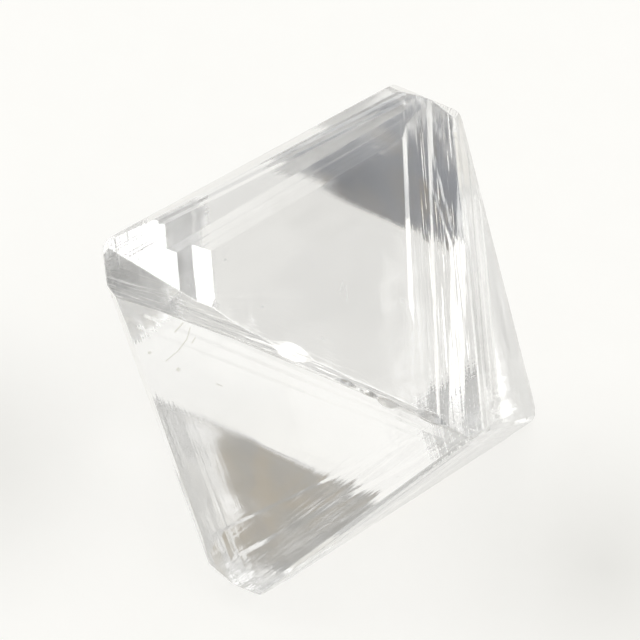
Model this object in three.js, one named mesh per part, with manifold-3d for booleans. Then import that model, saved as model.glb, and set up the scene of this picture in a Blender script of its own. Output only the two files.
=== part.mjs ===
// A rough diamond: one clear octahedral crystal, lying on one of its eight faces.
//
// Millimetres, +Z up. The crystal rests on its flat lower face at z = 0, its upper face is
// level, and the origin is under the middle of its bounding box.
//
// The solid is worked out from planes. Eight octahedron planes at unequal distances bound the
// body. Thin growth layers lie on the faces, and their rims are the growth steps. Bevels cut
// the twelve edges, blunt facets the six tips, and a few low facets the layers of the top
// face. Small triangular etch pits and chips along the edges are taken out last.

import * as THREE from 'three';
import { ConvexGeometry } from 'three/addons/geometries/ConvexGeometry.js';
import { mergeVertices } from 'three/addons/utils/BufferGeometryUtils.js';
import Module from 'manifold-3d';

const wasm = await Module();
wasm.setup();

// ------------------------------------------------------------------ driving dimensions

// The six tips, as directions along the crystal's own axes a, b and c.
const TIPS = {
  east: new THREE.Vector3(1, 0, 0),
  west: new THREE.Vector3(-1, 0, 0),
  north: new THREE.Vector3(0, 1, 0),
  south: new THREE.Vector3(0, -1, 0),
  southeast: new THREE.Vector3(0, 0, 1),
  northwest: new THREE.Vector3(0, 0, -1),
};

// Distance from the crystal's middle to a tip, before the tip is blunted.
const TIP_REACH = 4.1;

// The eight faces: the three tips each one spans, its distance from the crystal's middle, and
// how far it leans off the ideal octahedron plane, as a turn in degrees about a, b and c.
const FACES = {
  top: { tips: ['west', 'north', 'southeast'], distance: 2.135, lean: [0, 0, 0] },
  rest: { tips: ['east', 'south', 'northwest'], distance: 2.44, lean: [0, 0, 0] },
  upperSouth: { tips: ['west', 'south', 'southeast'], distance: 2.64, lean: [0, 0, 0] },
  upperEast: { tips: ['east', 'north', 'southeast'], distance: 2.49, lean: [1.8, 0, -1.75] },
  upperNorthwest: { tips: ['west', 'north', 'northwest'], distance: 2.325, lean: [0, 0, 0] },
  lowerWest: { tips: ['west', 'south', 'northwest'], distance: 2.285, lean: [0, 0, 0] },
  lowerNorth: { tips: ['east', 'north', 'northwest'], distance: 2.415, lean: [0.1, -1.2, -1.05] },
  lowerSoutheast: { tips: ['east', 'south', 'southeast'], distance: 2.81, lean: [-1.8, -0.4, 1.45] },
};

// Growth layers on each face, from the lowest up: how high each stands over the last, and its
// sides. The rim of a side runs `setback` short of an edge of the face at the edge's first and
// second tip, and past the tip where that is below zero. A side with a tip in place of an edge
// faces that tip. Each side slopes down from its rim at `slope` degrees.
const LAYERS = {
  top: [
    {
      height: 0.02,
      sides: [
        { edge: ['north', 'southeast'], setback: [-0.12, 0.36], slope: 9 },
        { edge: ['west', 'north'], setback: [0.02, 0.2], slope: 5 },
        { edge: ['west', 'southeast'], setback: [0.04, 0.03], slope: 8 },
      ],
    },
    {
      height: 0.006,
      sides: [
        { edge: ['north', 'southeast'], setback: [0.62, -0.25], slope: 9 },
        { edge: ['north', 'southeast'], setback: [-0.08, 0.4], slope: 9 },
        { edge: ['west', 'north'], setback: [0.1, 0.3], slope: 6 },
      ],
    },
    {
      height: 0.006,
      sides: [
        { edge: ['north', 'southeast'], setback: [0.86, -0.32], slope: 9 },
        { edge: ['north', 'southeast'], setback: [-0.04, 0.44], slope: 9 },
        { edge: ['west', 'north'], setback: [0.2, 0.42], slope: 6 },
      ],
    },
    {
      height: 0.009,
      sides: [
        { edge: ['north', 'southeast'], setback: [0.36, 0.6], slope: 16 },
        { edge: ['west', 'north'], setback: [0.75, 0.6], slope: 4 },
      ],
    },
    {
      height: 0.008,
      sides: [
        { edge: ['north', 'southeast'], setback: [0.74, 0.94], slope: 2 },
        { edge: ['north', 'southeast'], setback: [0.4, 0.65], slope: 14 },
        { edge: ['west', 'north'], setback: [0.87, 0.72], slope: 4 },
        { tip: 'west', setback: 1.9, slope: 4 },
      ],
    },
    {
      height: 0.009,
      sides: [
        { edge: ['north', 'southeast'], setback: [0.73, 0.93], slope: 10 },
        { edge: ['west', 'north'], setback: [1.0, 0.85], slope: 4 },
        { edge: ['west', 'southeast'], setback: [-0.5, 2.3], slope: 1.5 },
        { tip: 'west', setback: 2.03, slope: 4 },
      ],
    },
  ],
  upperSouth: [
    {
      height: 0.016,
      sides: [
        { edge: ['west', 'southeast'], setback: [0.03, 0.12], slope: 8 },
        { edge: ['west', 'south'], setback: [0.1, 0.3], slope: 5 },
        { edge: ['southeast', 'south'], setback: [0.04, 0.3], slope: 5 },
      ],
    },
    {
      height: 0.008,
      sides: [
        { edge: ['west', 'south'], setback: [0.34, 0.5], slope: 4 },
        { edge: ['southeast', 'south'], setback: [0.12, 0.8], slope: 6 },
        { edge: ['west', 'southeast'], setback: [0.3, 0.16], slope: 8 },
      ],
    },
    {
      height: 0.005,
      sides: [
        { edge: ['west', 'southeast'], setback: [0.55, 0.3], slope: 6 },
        { edge: ['southeast', 'south'], setback: [0.35, 1.3], slope: 6 },
      ],
    },
  ],
  upperEast: [
    {
      height: 0.014,
      sides: [
        { edge: ['north', 'southeast'], setback: [0.15, 0.25], slope: 5 },
        { edge: ['north', 'east'], setback: [0.12, 0.2], slope: 6 },
        { edge: ['southeast', 'east'], setback: [0.05, 0.2], slope: 8 },
      ],
    },
    {
      height: 0.01,
      sides: [
        { edge: ['north', 'southeast'], setback: [0.8, 0.5], slope: 7 },
        { edge: ['north', 'east'], setback: [0.5, 0.4], slope: 7 },
        { edge: ['southeast', 'east'], setback: [0.3, 0.6], slope: 6 },
      ],
    },
  ],
  upperNorthwest: [
    {
      height: 0.014,
      sides: [
        { edge: ['west', 'north'], setback: [0.1, 0.35], slope: 5 },
        { edge: ['west', 'northwest'], setback: [0.14, 0.1], slope: 6 },
        { edge: ['north', 'northwest'], setback: [0.12, 0.1], slope: 6 },
      ],
    },
    {
      height: 0.01,
      sides: [
        { edge: ['west', 'north'], setback: [0.5, 0.8], slope: 5 },
        { edge: ['west', 'northwest'], setback: [0.4, 0.5], slope: 6 },
        { edge: ['north', 'northwest'], setback: [0.5, 0.3], slope: 7 },
      ],
    },
    {
      height: 0.008,
      sides: [
        { edge: ['west', 'north'], setback: [0.8, 1.3], slope: 8 },
        { edge: ['north', 'northwest'], setback: [1.0, 0.6], slope: 9 },
      ],
    },
  ],
  lowerWest: [
    {
      height: 0.012,
      sides: [
        { edge: ['west', 'south'], setback: [0.1, 0.2], slope: 5 },
        { edge: ['west', 'northwest'], setback: [0.12, 0.12], slope: 6 },
        { edge: ['south', 'northwest'], setback: [0.15, 0.1], slope: 5 },
      ],
    },
    {
      height: 0.008,
      sides: [
        { edge: ['west', 'south'], setback: [0.5, 0.8], slope: 6 },
        { edge: ['south', 'northwest'], setback: [0.7, 0.5], slope: 6 },
      ],
    },
  ],
  lowerNorth: [
    {
      height: 0.01,
      sides: [
        { edge: ['north', 'east'], setback: [0.14, 0.12], slope: 5 },
        { edge: ['north', 'northwest'], setback: [0.1, 0.15], slope: 5 },
        { edge: ['east', 'northwest'], setback: [0.03, 0.03], slope: 6 },
      ],
    },
    {
      height: 0.005,
      sides: [
        { edge: ['north', 'east'], setback: [0.8, 0.6], slope: 5 },
        { edge: ['north', 'northwest'], setback: [0.5, 0.9], slope: 5 },
      ],
    },
  ],
  lowerSoutheast: [
    {
      height: 0.012,
      sides: [
        { edge: ['southeast', 'east'], setback: [0.1, 0.12], slope: 6 },
        { edge: ['southeast', 'south'], setback: [0.08, 0.2], slope: 6 },
        { edge: ['east', 'south'], setback: [0.12, 0.12], slope: 6 },
      ],
    },
    {
      height: 0.01,
      sides: [
        { edge: ['southeast', 'east'], setback: [0.35, 0.5], slope: 7 },
        { edge: ['southeast', 'south'], setback: [0.5, 0.8], slope: 7 },
      ],
    },
  ],
};

// How far a layer's other bounds lie inside the layer beneath, so no two planes coincide.
const LAYER_INSET = 0.004;

// Bevels along the edges: the width at the first and at the second tip, and how far each leans
// from the second of the edge's faces (0) to the first (1). A width below zero has run out
// before the tip.
const BEVELS = [
  { edge: ['west', 'southeast'], width: [0.06, -0.1], lean: 0.74 },
  { edge: ['west', 'south'], width: [0.14, 0.06], lean: 0.5 },
  { edge: ['west', 'north'], width: [0.08, 0.26], lean: 0.5 },
  { edge: ['west', 'northwest'], width: [0.05, 0.05], lean: 0.5 },
  { edge: ['north', 'southeast'], width: [0.02, 0.02], lean: 0.5 },
  { edge: ['north', 'east'], width: [0.1, 0.1], lean: 0.5 },
  { edge: ['north', 'northwest'], width: [0.06, 0.05], lean: 0.5 },
  { edge: ['southeast', 'east'], width: [0.04, 0.08], lean: 0.5 },
  { edge: ['southeast', 'south'], width: [0.04, 0.12], lean: 0.5 },
  { edge: ['east', 'south'], width: [0.05, 0.1], lean: 0.5 },
  { edge: ['east', 'northwest'], width: [0.03, 0.03], lean: 0.5 },
  { edge: ['south', 'northwest'], width: [0.05, 0.05], lean: 0.5 },
];

// Blunt facets at the tips: the depth each takes off, and how many degrees it is turned from
// square on to the tip towards another tip.
const TIP_CUTS = [
  { tip: 'east', depth: 0.06, towards: 'north', turn: 0 },
  { tip: 'west', depth: 0.04, towards: 'north', turn: 0 },
  { tip: 'west', depth: 0.1, towards: 'north', turn: 25 },
  { tip: 'north', depth: 0.42, towards: 'west', turn: 0 },
  { tip: 'north', depth: 0.38, towards: 'west', turn: 14 },
  { tip: 'north', depth: 0.26, towards: 'west', turn: 29 },
  { tip: 'north', depth: 0.33, towards: 'east', turn: 20 },
  { tip: 'north', depth: 0.34, towards: 'southeast', turn: 18 },
  { tip: 'south', depth: 0.42, towards: 'west', turn: 0 },
  { tip: 'south', depth: 0.32, towards: 'west', turn: 22 },
  { tip: 'south', depth: 0.32, towards: 'east', turn: 22 },
  { tip: 'southeast', depth: 0.03, towards: 'east', turn: 0 },
  { tip: 'northwest', depth: 0.05, towards: 'east', turn: 0 },
];

// Low facets that cut through all the layers of a face, each given like a layer's side.
const LOW_FACETS = [
  { face: 'top', tip: 'west', setback: 1.8, slope: 4 },
  { face: 'top', edge: ['west', 'southeast'], setback: [0.905, -1.35], slope: 16 },
  { face: 'top', edge: ['west', 'southeast'], setback: [0.585, -0.357], slope: 16 },
];

// Triangular etch pits: the face, the share of each of its tips in the place, and the width.
const PITS = [
  { face: 'top', share: [0.56, 0.22, 0.22], width: 0.035 },
  { face: 'top', share: [0.47, 0.12, 0.41], width: 0.045 },
  { face: 'top', share: [0.16, 0.34, 0.5], width: 0.05 },
  { face: 'top', share: [0.3, 0.12, 0.58], width: 0.045 },
  { face: 'upperSouth', share: [0.66, 0.12, 0.22], width: 0.06 },
  { face: 'upperSouth', share: [0.42, 0.4, 0.18], width: 0.05 },
  { face: 'upperNorthwest', share: [0.4, 0.32, 0.28], width: 0.14 },
  { face: 'upperNorthwest', share: [0.3, 0.42, 0.28], width: 0.08 },
  { face: 'upperEast', share: [0.3, 0.4, 0.3], width: 0.12 },
  { face: 'lowerWest', share: [0.45, 0.25, 0.3], width: 0.12 },
  { face: 'lowerNorth', share: [0.3, 0.35, 0.35], width: 0.1 },
  { face: 'lowerSoutheast', share: [0.3, 0.3, 0.4], width: 0.12 },
];
const PIT_WALL_SLOPE = THREE.MathUtils.degToRad(7);

// Shell-shaped chips knocked out of the edges: where along the edge, how flat a shell each is,
// how far it reaches inside the line where the two bare faces meet, and how far it leans from
// the second of the edge's faces (0) to the first (1).
const CHIPS = [
  { edge: ['west', 'southeast'], along: 0.55, radius: 2.5, depth: -0.0083, lean: 0.9 },
  { edge: ['west', 'southeast'], along: 0.7, radius: 1.0, depth: 0.004, lean: 0.6 },
  { edge: ['west', 'southeast'], along: 0.76, radius: 0.8, depth: 0.006, lean: 0.5 },
  { edge: ['west', 'southeast'], along: 0.81, radius: 0.9, depth: 0.014, lean: 0.3 },
  { edge: ['west', 'southeast'], along: 0.92, radius: 0.9, depth: 0.015, lean: 0.7 },
  { edge: ['north', 'southeast'], along: 0.2, radius: 0.63, depth: 0.018, lean: 0.5 },
  { edge: ['southeast', 'east'], along: 0.12, radius: 0.86, depth: 0.03, lean: 0.4 },
  { edge: ['southeast', 'east'], along: 0.8, radius: 0.91, depth: 0.035, lean: 0.5 },
  { edge: ['southeast', 'south'], along: 0.1, radius: 0.81, depth: 0.025, lean: 0.5 },
  { edge: ['southeast', 'south'], along: 0.42, radius: 1.01, depth: 0.02, lean: 0.6 },
  { edge: ['west', 'north'], along: 0.6, radius: 1.01, depth: 0.02, lean: 0.5 },
  { edge: ['north', 'northwest'], along: 0.6, radius: 0.81, depth: 0.025, lean: 0.5 },
  { edge: ['west', 'northwest'], along: 0.35, radius: 0.81, depth: 0.025, lean: 0.5 },
];
const CHIP_ROUNDNESS = 16;

// Turn of the crystal about the upright, once its top face is level.
const HEADING = THREE.MathUtils.degToRad(-3.66);

const CRYSTAL_COLOUR = 0xf1f4f6;
const CRYSTAL_ROUGHNESS = 0.03;

// Points and planes nearer than this count as the same.
const MATCHING = 1e-6;

// ------------------------------------------------------------------ planes of the crystal

/** Outward direction of a face, leaned off its ideal octahedron plane. */
function faceNormal(face) {
  const ideal = new THREE.Vector3();
  for (const tip of face.tips) ideal.add(TIPS[tip]);
  ideal.normalize();
  const lean = new THREE.Vector3(...face.lean).multiplyScalar(THREE.MathUtils.DEG2RAD);
  return ideal.clone().add(lean.cross(ideal)).normalize();
}

/** The half-space normal . p <= distance. */
function plane(normal, distance) {
  return { normal, distance };
}

function planeThrough(normal, point) {
  return plane(normal, normal.dot(point));
}

function facePlane(name, offset = 0) {
  return plane(faceNormal(FACES[name]), FACES[name].distance + offset);
}

/** Point where three planes meet, or null where they have no single point. */
function meet(one, two, three) {
  const cross = new THREE.Vector3().crossVectors(two.normal, three.normal);
  const volume = one.normal.dot(cross);
  if (Math.abs(volume) < MATCHING) return null;
  const point = cross.multiplyScalar(one.distance);
  point.addScaledVector(new THREE.Vector3().crossVectors(three.normal, one.normal), two.distance);
  point.addScaledVector(new THREE.Vector3().crossVectors(one.normal, two.normal), three.distance);
  return point.divideScalar(volume);
}

/** Names of the two faces that share the edge between two tips. */
function facesAt(edge) {
  return Object.keys(FACES).filter((name) => edge.every((tip) => FACES[name].tips.includes(tip)));
}

/** The edge between two face planes: its direction, and its points level with the two tips. */
function ridge(edge, planes) {
  const [first, second] = planes;
  const direction = new THREE.Vector3().crossVectors(first.normal, second.normal).normalize();
  const ends = edge.map((tip) => {
    const reach = direction.dot(TIPS[tip]) * TIP_REACH;
    return meet(first, second, plane(direction, reach));
  });
  return { direction: ends[1].clone().sub(ends[0]).normalize(), ends };
}

// ------------------------------------------------------------------ solids

/** A closed mesh as a solid that can be joined and cut. */
function toSolid(geometry) {
  geometry.deleteAttribute('normal');
  geometry.deleteAttribute('uv');
  const merged = mergeVertices(geometry, MATCHING);
  const mesh = new wasm.Mesh({
    numProp: 3,
    vertProperties: new Float32Array(merged.attributes.position.array),
    triVerts: new Uint32Array(merged.index.array),
  });
  return new wasm.Manifold(mesh);
}

function hull(points) {
  return toSolid(new ConvexGeometry(points));
}

/** The convex solid inside all the planes. */
function insideOf(planes) {
  const corners = [];
  for (let i = 0; i < planes.length; i += 1) {
    for (let j = i + 1; j < planes.length; j += 1) {
      for (let k = j + 1; k < planes.length; k += 1) {
        const point = meet(planes[i], planes[j], planes[k]);
        if (point === null) continue;
        const inside = planes.every((p) => p.normal.dot(point) <= p.distance + MATCHING);
        const repeated = corners.some((corner) => corner.distanceTo(point) < MATCHING);
        if (inside && !repeated) corners.push(point);
      }
    }
  }
  return hull(corners);
}

function crystalBody() {
  return insideOf(Object.keys(FACES).map((name) => facePlane(name)));
}

/** Sloping side of a growth layer, whose rim stops short of an edge of the face. */
function layerSide(faceName, rise, side) {
  const face = facePlane(faceName, rise);
  const neighbour = facesAt(side.edge).find((name) => name !== faceName);
  const { ends } = ridge(side.edge, [face, facePlane(neighbour)]);
  const along = ends[1].clone().sub(ends[0]).normalize();
  const outward = new THREE.Vector3().crossVectors(along, face.normal);
  if (outward.dot(faceNormal(FACES[neighbour])) < 0) outward.negate();
  const rim = ends.map((end, i) => end.addScaledVector(outward, -side.setback[i]));
  const rimDirection = rim[1].clone().sub(rim[0]).normalize();
  const rimOutward = new THREE.Vector3().crossVectors(rimDirection, face.normal);
  if (rimOutward.dot(outward) < 0) rimOutward.negate();
  const slope = THREE.MathUtils.degToRad(side.slope);
  const normal = face.normal.clone().multiplyScalar(Math.cos(slope));
  normal.addScaledVector(rimOutward, Math.sin(slope));
  return planeThrough(normal.normalize(), rim[0]);
}

/** Plane that starts short of a face's corner at a tip and slopes down to that tip. */
function tipwardPlane(faceName, rise, { tip, setback, slope }) {
  const face = facePlane(faceName, rise);
  const isNeighbour = (name) => name !== faceName && FACES[name].tips.includes(tip)
    && FACES[name].tips.filter((other) => FACES[faceName].tips.includes(other)).length === 2;
  const [first, second] = Object.keys(FACES).filter(isNeighbour);
  const corner = meet(face, facePlane(first), facePlane(second));
  const outward = TIPS[tip].clone().projectOnPlane(face.normal).normalize();
  const angle = THREE.MathUtils.degToRad(slope);
  const normal = face.normal.clone().multiplyScalar(Math.cos(angle));
  normal.addScaledVector(outward, Math.sin(angle)).normalize();
  return planeThrough(normal, corner.addScaledVector(outward, -setback));
}

/** Sloping side on a face, at a height over it: along an edge, or facing a tip. */
function sidePlane(faceName, rise, side) {
  return side.tip ? tipwardPlane(faceName, rise, side) : layerSide(faceName, rise, side);
}

/** How high a face's layers stand over the face, up to and with the one at the index. */
function riseOf(faceName, index) {
  return LAYERS[faceName].slice(0, index + 1).reduce((sum, layer) => sum + layer.height, 0);
}

/** One growth layer: the body raised at one face and drawn in a little everywhere else. */
function growthLayer(faceName, index) {
  const rise = riseOf(faceName, index);
  const inset = LAYER_INSET * (index + 1);
  const others = Object.keys(FACES).filter((name) => name !== faceName);
  const bounds = others.map((name) => facePlane(name, -inset));
  const sides = LAYERS[faceName][index].sides.map((side) => sidePlane(faceName, rise, side));
  return insideOf([facePlane(faceName, rise), ...bounds, ...sides]);
}

/** Plane of the narrow facet along an edge. */
function bevelPlane({ edge, width, lean }) {
  const planes = facesAt(edge).map((name) => facePlane(name));
  const { direction, ends } = ridge(edge, planes);
  const outward = planes[1].normal.clone().lerp(planes[0].normal, lean).normalize();
  const run = planes.reduce((sum, { normal }) => sum + 1 / Math.tan(outward.angleTo(normal)), 0);
  const cut = ends.map((end, i) => end.clone().addScaledVector(outward, -width[i] / run));
  const across = new THREE.Vector3().crossVectors(direction, outward);
  const normal = new THREE.Vector3().crossVectors(across, cut[1].clone().sub(cut[0])).normalize();
  if (normal.dot(outward) < 0) normal.negate();
  return planeThrough(normal, cut[0]);
}

/** Blunt facet that takes the given depth off a tip. */
function tipPlane({ tip, depth, towards, turn }, body) {
  const angle = THREE.MathUtils.degToRad(turn);
  const direction = TIPS[tip].clone().multiplyScalar(Math.cos(angle));
  direction.addScaledVector(TIPS[towards], Math.sin(angle));
  const { vertProperties } = body.getMesh();
  let reach = 0;
  for (let i = 0; i < vertProperties.length; i += 3) {
    const corner = new THREE.Vector3().fromArray(vertProperties, i);
    reach = Math.max(reach, direction.dot(corner));
  }
  return plane(direction, reach - depth);
}

/** Low facet on the outermost layer of a face. */
function lowFacetPlane(facet) {
  return sidePlane(facet.face, riseOf(facet.face, LAYERS[facet.face].length - 1), facet);
}

/** Small three-sided pit sunk into the outermost layer of a face, pointing against it. */
function etchPit({ face, share, width }) {
  const surface = facePlane(face, riseOf(face, LAYERS[face].length - 1));
  const place = new THREE.Vector3();
  FACES[face].tips.forEach((tip, i) => place.addScaledVector(TIPS[tip], share[i] * TIP_REACH));
  place.addScaledVector(surface.normal, surface.distance - surface.normal.dot(place));
  // The pit is made as tall over the surface as it is deep, so its walls pass well through it.
  const middleToWall = width / 2;
  const depth = (middleToWall / 2) * Math.tan(PIT_WALL_SLOPE);
  const corners = FACES[face].tips.map((tip) => {
    const towards = TIPS[tip].clone().projectOnPlane(surface.normal).normalize();
    const corner = place.clone().addScaledVector(towards, -width);
    return corner.addScaledVector(surface.normal, depth);
  });
  const bottom = place.clone().addScaledVector(surface.normal, -depth);
  return hull([...corners, bottom]);
}

/** Shell-shaped scoop that takes a chip out of an edge. */
function edgeChip({ edge, along, radius, depth, lean }) {
  const planes = facesAt(edge).map((name) => facePlane(name));
  const { ends } = ridge(edge, planes);
  const outward = planes[0].normal.clone().lerp(planes[1].normal, 1 - lean).normalize();
  const scoop = new THREE.IcosahedronGeometry(radius, CHIP_ROUNDNESS);
  const centre = ends[0].clone().lerp(ends[1], along).addScaledVector(outward, radius - depth);
  scoop.translate(centre.x, centre.y, centre.z);
  return toSolid(scoop);
}

function buildCrystal() {
  let crystal = crystalBody();
  const facets = [
    ...BEVELS.map(bevelPlane),
    ...TIP_CUTS.map((cut) => tipPlane(cut, crystal)),
    ...LOW_FACETS.map(lowFacetPlane),
  ];
  for (const faceName of Object.keys(LAYERS)) {
    LAYERS[faceName].forEach((layer, index) => {
      crystal = crystal.add(growthLayer(faceName, index));
    });
  }
  crystal = crystal.intersect(insideOf(facets));
  for (const pit of PITS) crystal = crystal.subtract(etchPit(pit));
  for (const chip of CHIPS) crystal = crystal.subtract(edgeChip(chip));
  return crystal;
}

/** The solid as a geometry, turned so that its top face is level and lowered onto z = 0. */
function standingGeometry(solid) {
  const mesh = solid.getMesh();
  const geometry = new THREE.BufferGeometry();
  geometry.setAttribute('position', new THREE.BufferAttribute(mesh.vertProperties, 3));
  geometry.setIndex(new THREE.BufferAttribute(mesh.triVerts, 1));
  const upright = new THREE.Vector3(0, 0, 1);
  geometry.applyQuaternion(new THREE.Quaternion().setFromUnitVectors(faceNormal(FACES.top), upright));
  geometry.rotateZ(HEADING);
  geometry.computeBoundingBox();
  const middle = geometry.boundingBox.getCenter(new THREE.Vector3());
  geometry.translate(-middle.x, -middle.y, -geometry.boundingBox.min.z);
  geometry.computeVertexNormals();
  return geometry;
}

// ------------------------------------------------------------------ the part

const diamond = new THREE.Mesh(
  standingGeometry(buildCrystal()),
  new THREE.MeshStandardMaterial({ color: CRYSTAL_COLOUR, roughness: CRYSTAL_ROUGHNESS, metalness: 0 }),
);
diamond.name = 'diamond_crystal';

const part = new THREE.Group();
part.add(diamond);

export default part;
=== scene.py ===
"""A rough diamond lying on a pale floor in soft studio light."""

import math

import bpy
from mathutils import Euler, Matrix, Vector

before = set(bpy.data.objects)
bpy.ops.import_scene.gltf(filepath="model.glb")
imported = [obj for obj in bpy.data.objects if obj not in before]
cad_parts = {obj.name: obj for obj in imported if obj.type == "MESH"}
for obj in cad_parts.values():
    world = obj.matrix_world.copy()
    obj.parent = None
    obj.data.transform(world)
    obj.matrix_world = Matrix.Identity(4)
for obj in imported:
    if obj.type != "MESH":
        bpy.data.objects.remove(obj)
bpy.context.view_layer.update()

# Lengths are in metres, apart from those whose comment gives millimetres (mm).
MM = 0.001

# ---------------------------------------------------------------- sizes and values

# The middle of the crystal's growth, from which the distances of its faces are measured. The
# camera looks at it.
CRYSTAL_MIDDLE = Vector((-0.1406, 0.2072, 2.44)) * MM

# The camera: how high it looks down from, its turn about the view, its distance, the width
# that it takes in at the crystal, and the width of its sensor (mm).
CAMERA_ELEVATION = math.radians(58.2)
CAMERA_ROLL = math.radians(7.0)
CAMERA_DISTANCE = 50.4 * MM
VIEW_WIDTH = 9.28 * MM
SENSOR_WIDTH = 36.0
# The camera shows what lies between these two distances.
NEAREST_SHOWN = 1 * MM
FARTHEST_SHOWN = 10.0

WHITE = (1.0, 1.0, 1.0, 1.0)

DIAMOND_IOR = 2.417
# How often light may pass or turn at the crystal's faces before it is lost.
LIGHT_BOUNCES = 16
# Radius the ridges and step rims are worn to.
EDGE_SOFTNESS = 0.025 * MM
EDGE_SAMPLES = 4
# The faces are a little etched in soft patches: polished at their smoothest, faintly matt at
# their roughest. The patches per millimetre, and the range of the noise that they span.
ETCH_ROUGHNESS = (0.05, 0.11)
ETCH_PATCHES_PER_MM = 0.9
ETCH_RANGE = (0.35, 0.65)

# The eight faces of the crystal: outward direction as azimuth and elevation in degrees, and
# how far the outermost layer lies from the crystal's middle (mm).
FACES = [
    (0.0, 90.0, 2.193),
    (0.0, -90.0, 2.44),
    (-108.7, 19.5, 2.67),
    (9.0, 18.2, 2.51),
    (131.3, 19.5, 2.36),
    (-168.7, -19.5, 2.30),
    (69.8, -20.1, 2.43),
    (-46.8, -17.9, 2.83),
]
# Fine ridges along the edges of four of the faces, on the neighbouring faces: the face's place
# in FACES, the depths under it between which the ridges fade out (mm), their number per
# millimetre across and along, and their height (mm).
STRIATIONS = [
    (3, (0.35, 1.0), (11.0, 0.4), 0.011),
    (2, (0.10, 0.4), (16.0, 1.2), 0.006),
    (7, (0.30, 1.5), (9.0, 0.4), 0.007),
    (5, (0.20, 1.1), (7.0, 0.5), 0.006),
]
STRIATION_ROUGHNESS = 0.6
# Dark scratches and specks on the left front face, and pale ones on the top face: the two ends
# of each and its half width (mm).
DARK_MARKS = [
    ((-1.903, -1.422, 4.447), (-1.930, -1.491, 4.261), 0.013),
    ((-1.930, -1.491, 4.261), (-2.040, -1.552, 4.014), 0.015),
    ((-2.040, -1.552, 4.014), (-2.196, -1.590, 3.770), 0.012),
    ((-2.007, -1.375, 4.478), (-2.107, -1.421, 4.291), 0.018),
    ((-1.855, -1.528, 4.232), (-1.820, -1.502, 4.332), 0.014),
    ((-1.450, -1.848, 3.753), (-1.378, -1.872, 3.756), 0.015),
    ((-2.446, -1.502, 3.781), (-2.430, -1.500, 3.800), 0.030),
    ((-2.016, -1.674, 3.708), (-2.010, -1.674, 3.730), 0.042),
    ((-3.041, -0.992, 4.334), (-3.041, -1.000, 4.310), 0.025),
]
DARK_MARK_TINT = (0.66, 0.64, 0.57, 1.0)
PALE_MARKS = [
    ((-1.550, -0.369, 4.633), (-1.545, -0.360, 4.633), 0.022),
    ((-0.955, -1.056, 4.629), (-0.945, -1.050, 4.629), 0.026),
    ((0.951, -0.667, 4.633), (0.975, -0.690, 4.633), 0.030),
    ((-0.083, -1.431, 4.624), (-0.060, -1.440, 4.624), 0.022),
    ((0.110, -0.476, 4.633), (0.087, -0.661, 4.633), 0.012),
    ((0.160, -0.560, 4.633), (0.196, -0.776, 4.633), 0.010),
]
PALE_MARK_ROUGHNESS = 0.6
# Share of a mark's half width inside which it is at full strength.
MARK_CORE = 0.4
# Slow swell of the faces.
SWELLS_PER_MM = 0.9
SWELL_HEIGHT = 0.016 * MM
# Growth lines along the edges of all the faces: the depth under a face at which they have
# faded, the share of them left beyond it, lines per millimetre, height, and how far along the
# noise each face starts from the one before, so that no two have the same lines.
LINE_REACH = 0.8 * MM
LINES_LEFT = 0.08
LINES_PER_MM = 9.0
LINE_HEIGHT = 0.0028 * MM
LINE_STEP = 17.3

FLOOR_SIZE = 400 * MM
# The floor lies this far under the crystal's resting face, so the two don't share a plane.
FLOOR_DROP = 0.004 * MM
FLOOR_COLOUR = (0.2, 0.199, 0.195, 1.0)
FLOOR_SHADE = (0.18, 0.179, 0.175, 1.0)
FLOOR_GRAINS_PER_MM = 1.6
FLOOR_ROUGHNESS = 0.9
# Light the floor gives back, and soft pools of painted light and shade in it round the crystal:
# two painted shadows of the crystal, a painted pool of the light it throws, and faint painted
# shade under it. Where each lies, its radius, the half width of its soft rim (mm) and its tone.
FLOOR_GLOW = (0.81, 0.805, 0.78, 1.0)
PAINTED_LIGHT_AND_SHADE_POOLS = [
    (-5.4, -1.5, 0.8, 2.6, (0.57, 0.565, 0.54, 1.0)),
    (4.5, -1.9, 0.7, 3.0, (0.57, 0.565, 0.54, 1.0)),
    (-2.6, -1.0, 0.2, 0.9, (0.84, 0.835, 0.81, 1.0)),
    (0.0, 0.2, 2.2, 0.6, (0.81, 0.80, 0.765, 1.0)),
]

# The room: a bright dome, and discs of other tones on it, later ones over earlier ones. Each
# disc has an azimuth, an elevation, a radius, the half width of its soft rim (degrees) and a
# tone.
DOME = (0.80, 0.80, 0.79, 1.0)
ROOM_DISCS = [
    # bright walls behind, a dimmer room in front
    (150, 15, 50, 35, (1.5, 1.5, 1.47, 1.0)),
    (28, 12, 32, 22, (1.75, 1.75, 1.72, 1.0)),
    (280, 14, 48, 25, (0.68, 0.65, 0.57, 1.0)),
    (90, 8, 14, 9, (0.45, 0.45, 0.45, 1.0)),
    (142, 50, 11, 6, (1.0, 1.0, 0.98, 1.0)),
    (86, 58, 9, 6, (0.45, 0.45, 0.45, 1.0)),
    # windows
    (64, 50.5, 4.5, 2, (2.6, 2.6, 2.55, 1.0)),
    (106.7, 56.2, 3.3, 1.0, (5.0, 5.0, 4.9, 1.0)),
    (112, 74, 8.5, 2.5, (3.0, 3.0, 2.95, 1.0)),
    # the camera over the crystal, and what is beside it
    (-95, 55, 10, 5, (0.45, 0.41, 0.34, 1.0)),
    (-105, 74, 12, 5, (0.085, 0.10, 0.13, 1.0)),
    (164, 70, 8, 3, (0.30, 0.30, 0.27, 1.0)),
    (-140, 61, 25, 6, (0.07, 0.083, 0.11, 1.0)),
    (-118, 52, 10, 5, (0.25, 0.19, 0.10, 1.0)),
    (-134, 46, 7, 2, (0.20, 0.19, 0.16, 1.0)),
    (-129, 38, 7, 2.5, (0.14, 0.135, 0.12, 1.0)),
]


def direction(azimuth, elevation):
    """The unit vector that points along an azimuth and an elevation in degrees."""
    a, e = math.radians(azimuth), math.radians(elevation)
    return Vector((math.cos(e) * math.cos(a), math.cos(e) * math.sin(a), math.sin(e)))


# ---------------------------------------------------------------- node helpers

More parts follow.
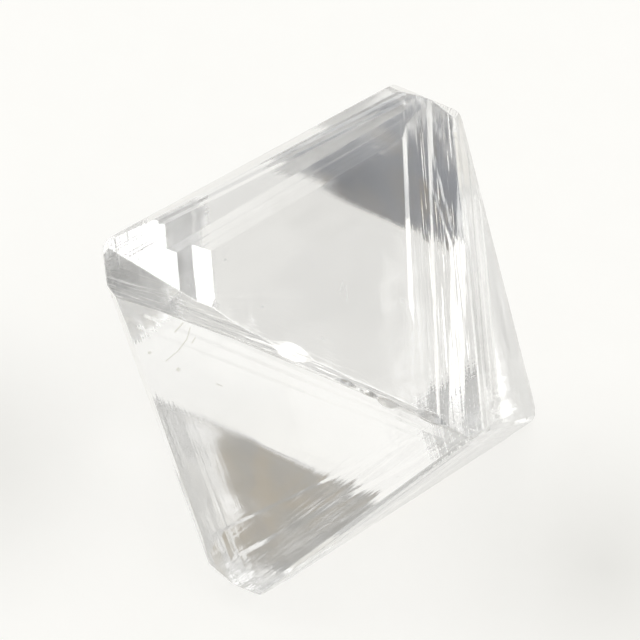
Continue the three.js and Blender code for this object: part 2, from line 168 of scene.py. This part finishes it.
class Nodes:
    """Adds nodes to one material's or world's tree."""

    def __init__(self, tree):
        self.tree = tree

    def add(self, kind, inputs=None, **settings):
        """A new node, with each input linked to a socket or set to a value."""
        node = self.tree.nodes.new(kind)
        for name, value in settings.items():
            setattr(node, name, value)
        for name, value in (inputs or {}).items():
            self.feed(node.inputs[name], value)
        return node

    def feed(self, socket, value):
        """Links a socket to another, or sets it to a value."""
        if isinstance(value, bpy.types.NodeSocket):
            self.tree.links.new(value, socket)
        else:
            socket.default_value = value

    def math(self, operation, *values):
        node = self.add("ShaderNodeMath", operation=operation)
        for socket, value in zip(node.inputs, values):
            self.feed(socket, value)
        return node.outputs[0]

    def vector_number(self, operation, first, second):
        """A number worked out from two vectors, such as their DOT_PRODUCT or DISTANCE."""
        node = self.add("ShaderNodeVectorMath", operation=operation)
        self.feed(node.inputs[0], first)
        self.feed(node.inputs[1], second)
        return node.outputs["Value"]

    def dot(self, vector, fixed):
        return self.vector_number("DOT_PRODUCT", vector, fixed)

    def distance(self, first, second):
        return self.vector_number("DISTANCE", first, second)

    def ramp(self, value, low, high, to_low=0.0, to_high=1.0):
        """Goes smoothly from to_low to to_high as the value goes from low to high."""
        node = self.add("ShaderNodeMapRange", {
            "Value": value, "From Min": low, "From Max": high, "To Min": to_low, "To Max": to_high,
        }, interpolation_type="SMOOTHSTEP")
        return node.outputs["Result"]

    def noise(self, vector, scale, detail=2.0, roughness=0.5):
        node = self.add("ShaderNodeTexNoise", {
            "Vector": vector, "Scale": scale, "Detail": detail, "Roughness": roughness,
        })
        return node.outputs["Fac"]

    def line_noise(self, value):
        """Noise along a line, for lines that run side by side."""
        node = self.add("ShaderNodeTexNoise", {
            "W": value, "Scale": 1.0, "Detail": 2.0, "Roughness": 0.6,
        }, noise_dimensions="1D")
        return node.outputs["Fac"]

    def mix(self, factor, first, second, kind="RGBA"):
        """Goes from the first to the second colour, or VECTOR, as the factor goes from 0 to 1."""
        node = self.add("ShaderNodeMix", {"Factor": factor}, data_type=kind)
        for name, value in (("A", first), ("B", second)):
            self.feed(next(s for s in node.inputs if s.name == name and s.type == kind), value)
        return next(s for s in node.outputs if s.type == kind)

    def bump(self, height, distance, normal):
        """The normal with a relief on it, whose height of 1 stands for the distance."""
        node = self.add("ShaderNodeBump", {
            "Strength": 1.0, "Distance": distance, "Height": height, "Normal": normal,
        })
        return node.outputs["Normal"]


def new_material(name):
    """A material, its shader and its nodes."""
    material = bpy.data.materials.new(name)
    material.use_nodes = True
    return material, material.node_tree.nodes["Principled BSDF"], Nodes(material.node_tree)


# ---------------------------------------------------------------- materials

def depth_under(nodes, place, face):
    """How deep a place lies under the plane of one of the faces."""
    azimuth, elevation, distance = face
    outward = direction(azimuth, elevation)
    level = distance * MM + outward.dot(CRYSTAL_MIDDLE)
    return nodes.math("SUBTRACT", level, nodes.dot(place, outward))


def growth_lines(nodes, place):
    """Height of the fine growth lines that run along the edges of the faces."""
    total = None
    for number, face in enumerate(FACES):
        depth = depth_under(nodes, place, face)
        across = nodes.math("MULTIPLY_ADD", depth, LINES_PER_MM / MM, LINE_STEP * number)
        lines = nodes.line_noise(across)
        near = nodes.ramp(depth, 0.0, LINE_REACH, 1.0, LINES_LEFT)
        part = nodes.math("MULTIPLY", lines, near)
        total = part if total is None else nodes.math("ADD", total, part)
    return total


def striations(nodes, place, face, fade, fineness):
    """Height of the fine ridges that run along the edges of one face."""
    depth = depth_under(nodes, place, face)
    along = nodes.dot(place, direction(face[0] + 90, 0))
    spot = nodes.add("ShaderNodeCombineXYZ", {
        "X": nodes.math("MULTIPLY", depth, fineness[0] / MM),
        "Y": nodes.math("MULTIPLY", along, fineness[1] / MM),
    })
    ridges = nodes.noise(spot.outputs["Vector"], 1.0, roughness=STRIATION_ROUGHNESS)
    near = nodes.ramp(depth, fade[0] * MM, fade[1] * MM, 1.0, 0.0)
    return nodes.math("MULTIPLY", ridges, near)


def marks(nodes, place, segments):
    """One inside any of the segments' rounded outlines, and zero elsewhere."""
    total = None
    for start, end, half_width in segments:
        first, last = Vector(start) * MM, Vector(end) * MM
        run = last - first
        past_first = nodes.math("SUBTRACT", nodes.dot(place, run), first.dot(run))
        share = nodes.math("DIVIDE", past_first, run.length_squared)
        nearest = nodes.mix(share, first, last, kind="VECTOR")
        away = nodes.distance(place, nearest)
        inside = nodes.ramp(away, half_width * MM, half_width * MARK_CORE * MM)
        total = inside if total is None else nodes.math("MAXIMUM", total, inside)
    return total


def diamond_material():
    material, shader, nodes = new_material("clear_diamond")
    shader.inputs["IOR"].default_value = DIAMOND_IOR
    shader.inputs["Transmission Weight"].default_value = 1.0
    place = nodes.add("ShaderNodeTexCoord").outputs["Object"]
    tint = nodes.mix(marks(nodes, place, DARK_MARKS), WHITE, DARK_MARK_TINT)
    nodes.feed(shader.inputs["Base Color"], tint)

    patches = nodes.noise(place, ETCH_PATCHES_PER_MM / MM, 3.0)
    etched = nodes.ramp(patches, *ETCH_RANGE, *ETCH_ROUGHNESS)
    frosted = nodes.math("MULTIPLY", marks(nodes, place, PALE_MARKS), PALE_MARK_ROUGHNESS)
    nodes.feed(shader.inputs["Roughness"], nodes.math("MAXIMUM", etched, frosted))

    worn = nodes.add("ShaderNodeBevel", {"Radius": EDGE_SOFTNESS}, samples=EDGE_SAMPLES)
    swell = nodes.noise(place, SWELLS_PER_MM / MM, 1.0)
    normal = nodes.bump(swell, SWELL_HEIGHT, worn.outputs["Normal"])
    normal = nodes.bump(growth_lines(nodes, place), LINE_HEIGHT, normal)
    for face, fade, fineness, height in STRIATIONS:
        ridges = striations(nodes, place, FACES[face], fade, fineness)
        normal = nodes.bump(ridges, height * MM, normal)
    nodes.feed(shader.inputs["Normal"], normal)
    return material


def floor_material():
    material, shader, nodes = new_material("pale_floor")
    shader.inputs["Roughness"].default_value = FLOOR_ROUGHNESS
    shader.inputs["Specular IOR Level"].default_value = 0.0
    place = nodes.add("ShaderNodeTexCoord").outputs["Object"]
    grain = nodes.noise(place, FLOOR_GRAINS_PER_MM / MM, 4.0)
    nodes.feed(shader.inputs["Base Color"], nodes.mix(grain, FLOOR_SHADE, FLOOR_COLOUR))
    glow = FLOOR_GLOW
    # Painted pools of light and shade round the crystal, mixed into the floor's glow.
    for x, y, radius, rim, tone in PAINTED_LIGHT_AND_SHADE_POOLS:
        away = nodes.distance(place, (x * MM, y * MM, 0.0))
        inside = nodes.ramp(away, (radius + rim) * MM, (radius - rim) * MM)
        glow = nodes.mix(inside, glow, tone)
    nodes.feed(shader.inputs["Emission Color"], glow)
    shader.inputs["Emission Strength"].default_value = 1.0
    return material


# ---------------------------------------------------------------- stage, camera and light

def make_floor():
    bpy.ops.mesh.primitive_plane_add(size=FLOOR_SIZE, location=(0, 0, -FLOOR_DROP))
    floor = bpy.context.object
    floor.name = "floor"
    floor.data.materials.append(floor_material())


def make_camera():
    data = bpy.data.cameras.new("camera")
    data.sensor_width = SENSOR_WIDTH
    data.lens = SENSOR_WIDTH * CAMERA_DISTANCE / VIEW_WIDTH
    data.clip_start = NEAREST_SHOWN
    data.clip_end = FARTHEST_SHOWN
    camera = bpy.data.objects.new("camera", data)
    bpy.context.scene.collection.objects.link(camera)
    toward = Vector((0, -math.cos(CAMERA_ELEVATION), math.sin(CAMERA_ELEVATION)))
    tilt = Euler((math.pi / 2 - CAMERA_ELEVATION, 0, 0)).to_matrix()
    roll = Matrix.Rotation(CAMERA_ROLL, 3, "Z")
    place = CRYSTAL_MIDDLE + toward * CAMERA_DISTANCE
    camera.matrix_world = Matrix.Translation(place) @ (tilt @ roll).to_4x4()
    bpy.context.scene.camera = camera


def make_world():
    world = bpy.data.worlds.new("studio")
    world.use_nodes = True
    bpy.context.scene.world = world
    nodes = Nodes(world.node_tree)
    looking = nodes.add("ShaderNodeTexCoord").outputs["Generated"]
    colour = DOME
    for azimuth, elevation, radius, rim, tone in ROOM_DISCS:
        nearness = nodes.dot(looking, direction(azimuth, elevation))
        rim_outside = math.cos(math.radians(radius + rim))
        rim_inside = math.cos(math.radians(radius - rim))
        colour = nodes.mix(nodes.ramp(nearness, rim_outside, rim_inside), colour, tone)
    nodes.feed(world.node_tree.nodes["Background"].inputs["Color"], colour)


def set_rendering():
    scene = bpy.context.scene
    scene.view_settings.view_transform = "Standard"
    scene.cycles.max_bounces = LIGHT_BOUNCES
    scene.cycles.transmission_bounces = LIGHT_BOUNCES
    scene.cycles.glossy_bounces = LIGHT_BOUNCES
    scene.cycles.use_denoising = True


make_floor()
make_camera()
make_world()
set_rendering()

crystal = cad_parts["diamond_crystal"]
crystal.data.materials.clear()
crystal.data.materials.append(diamond_material())
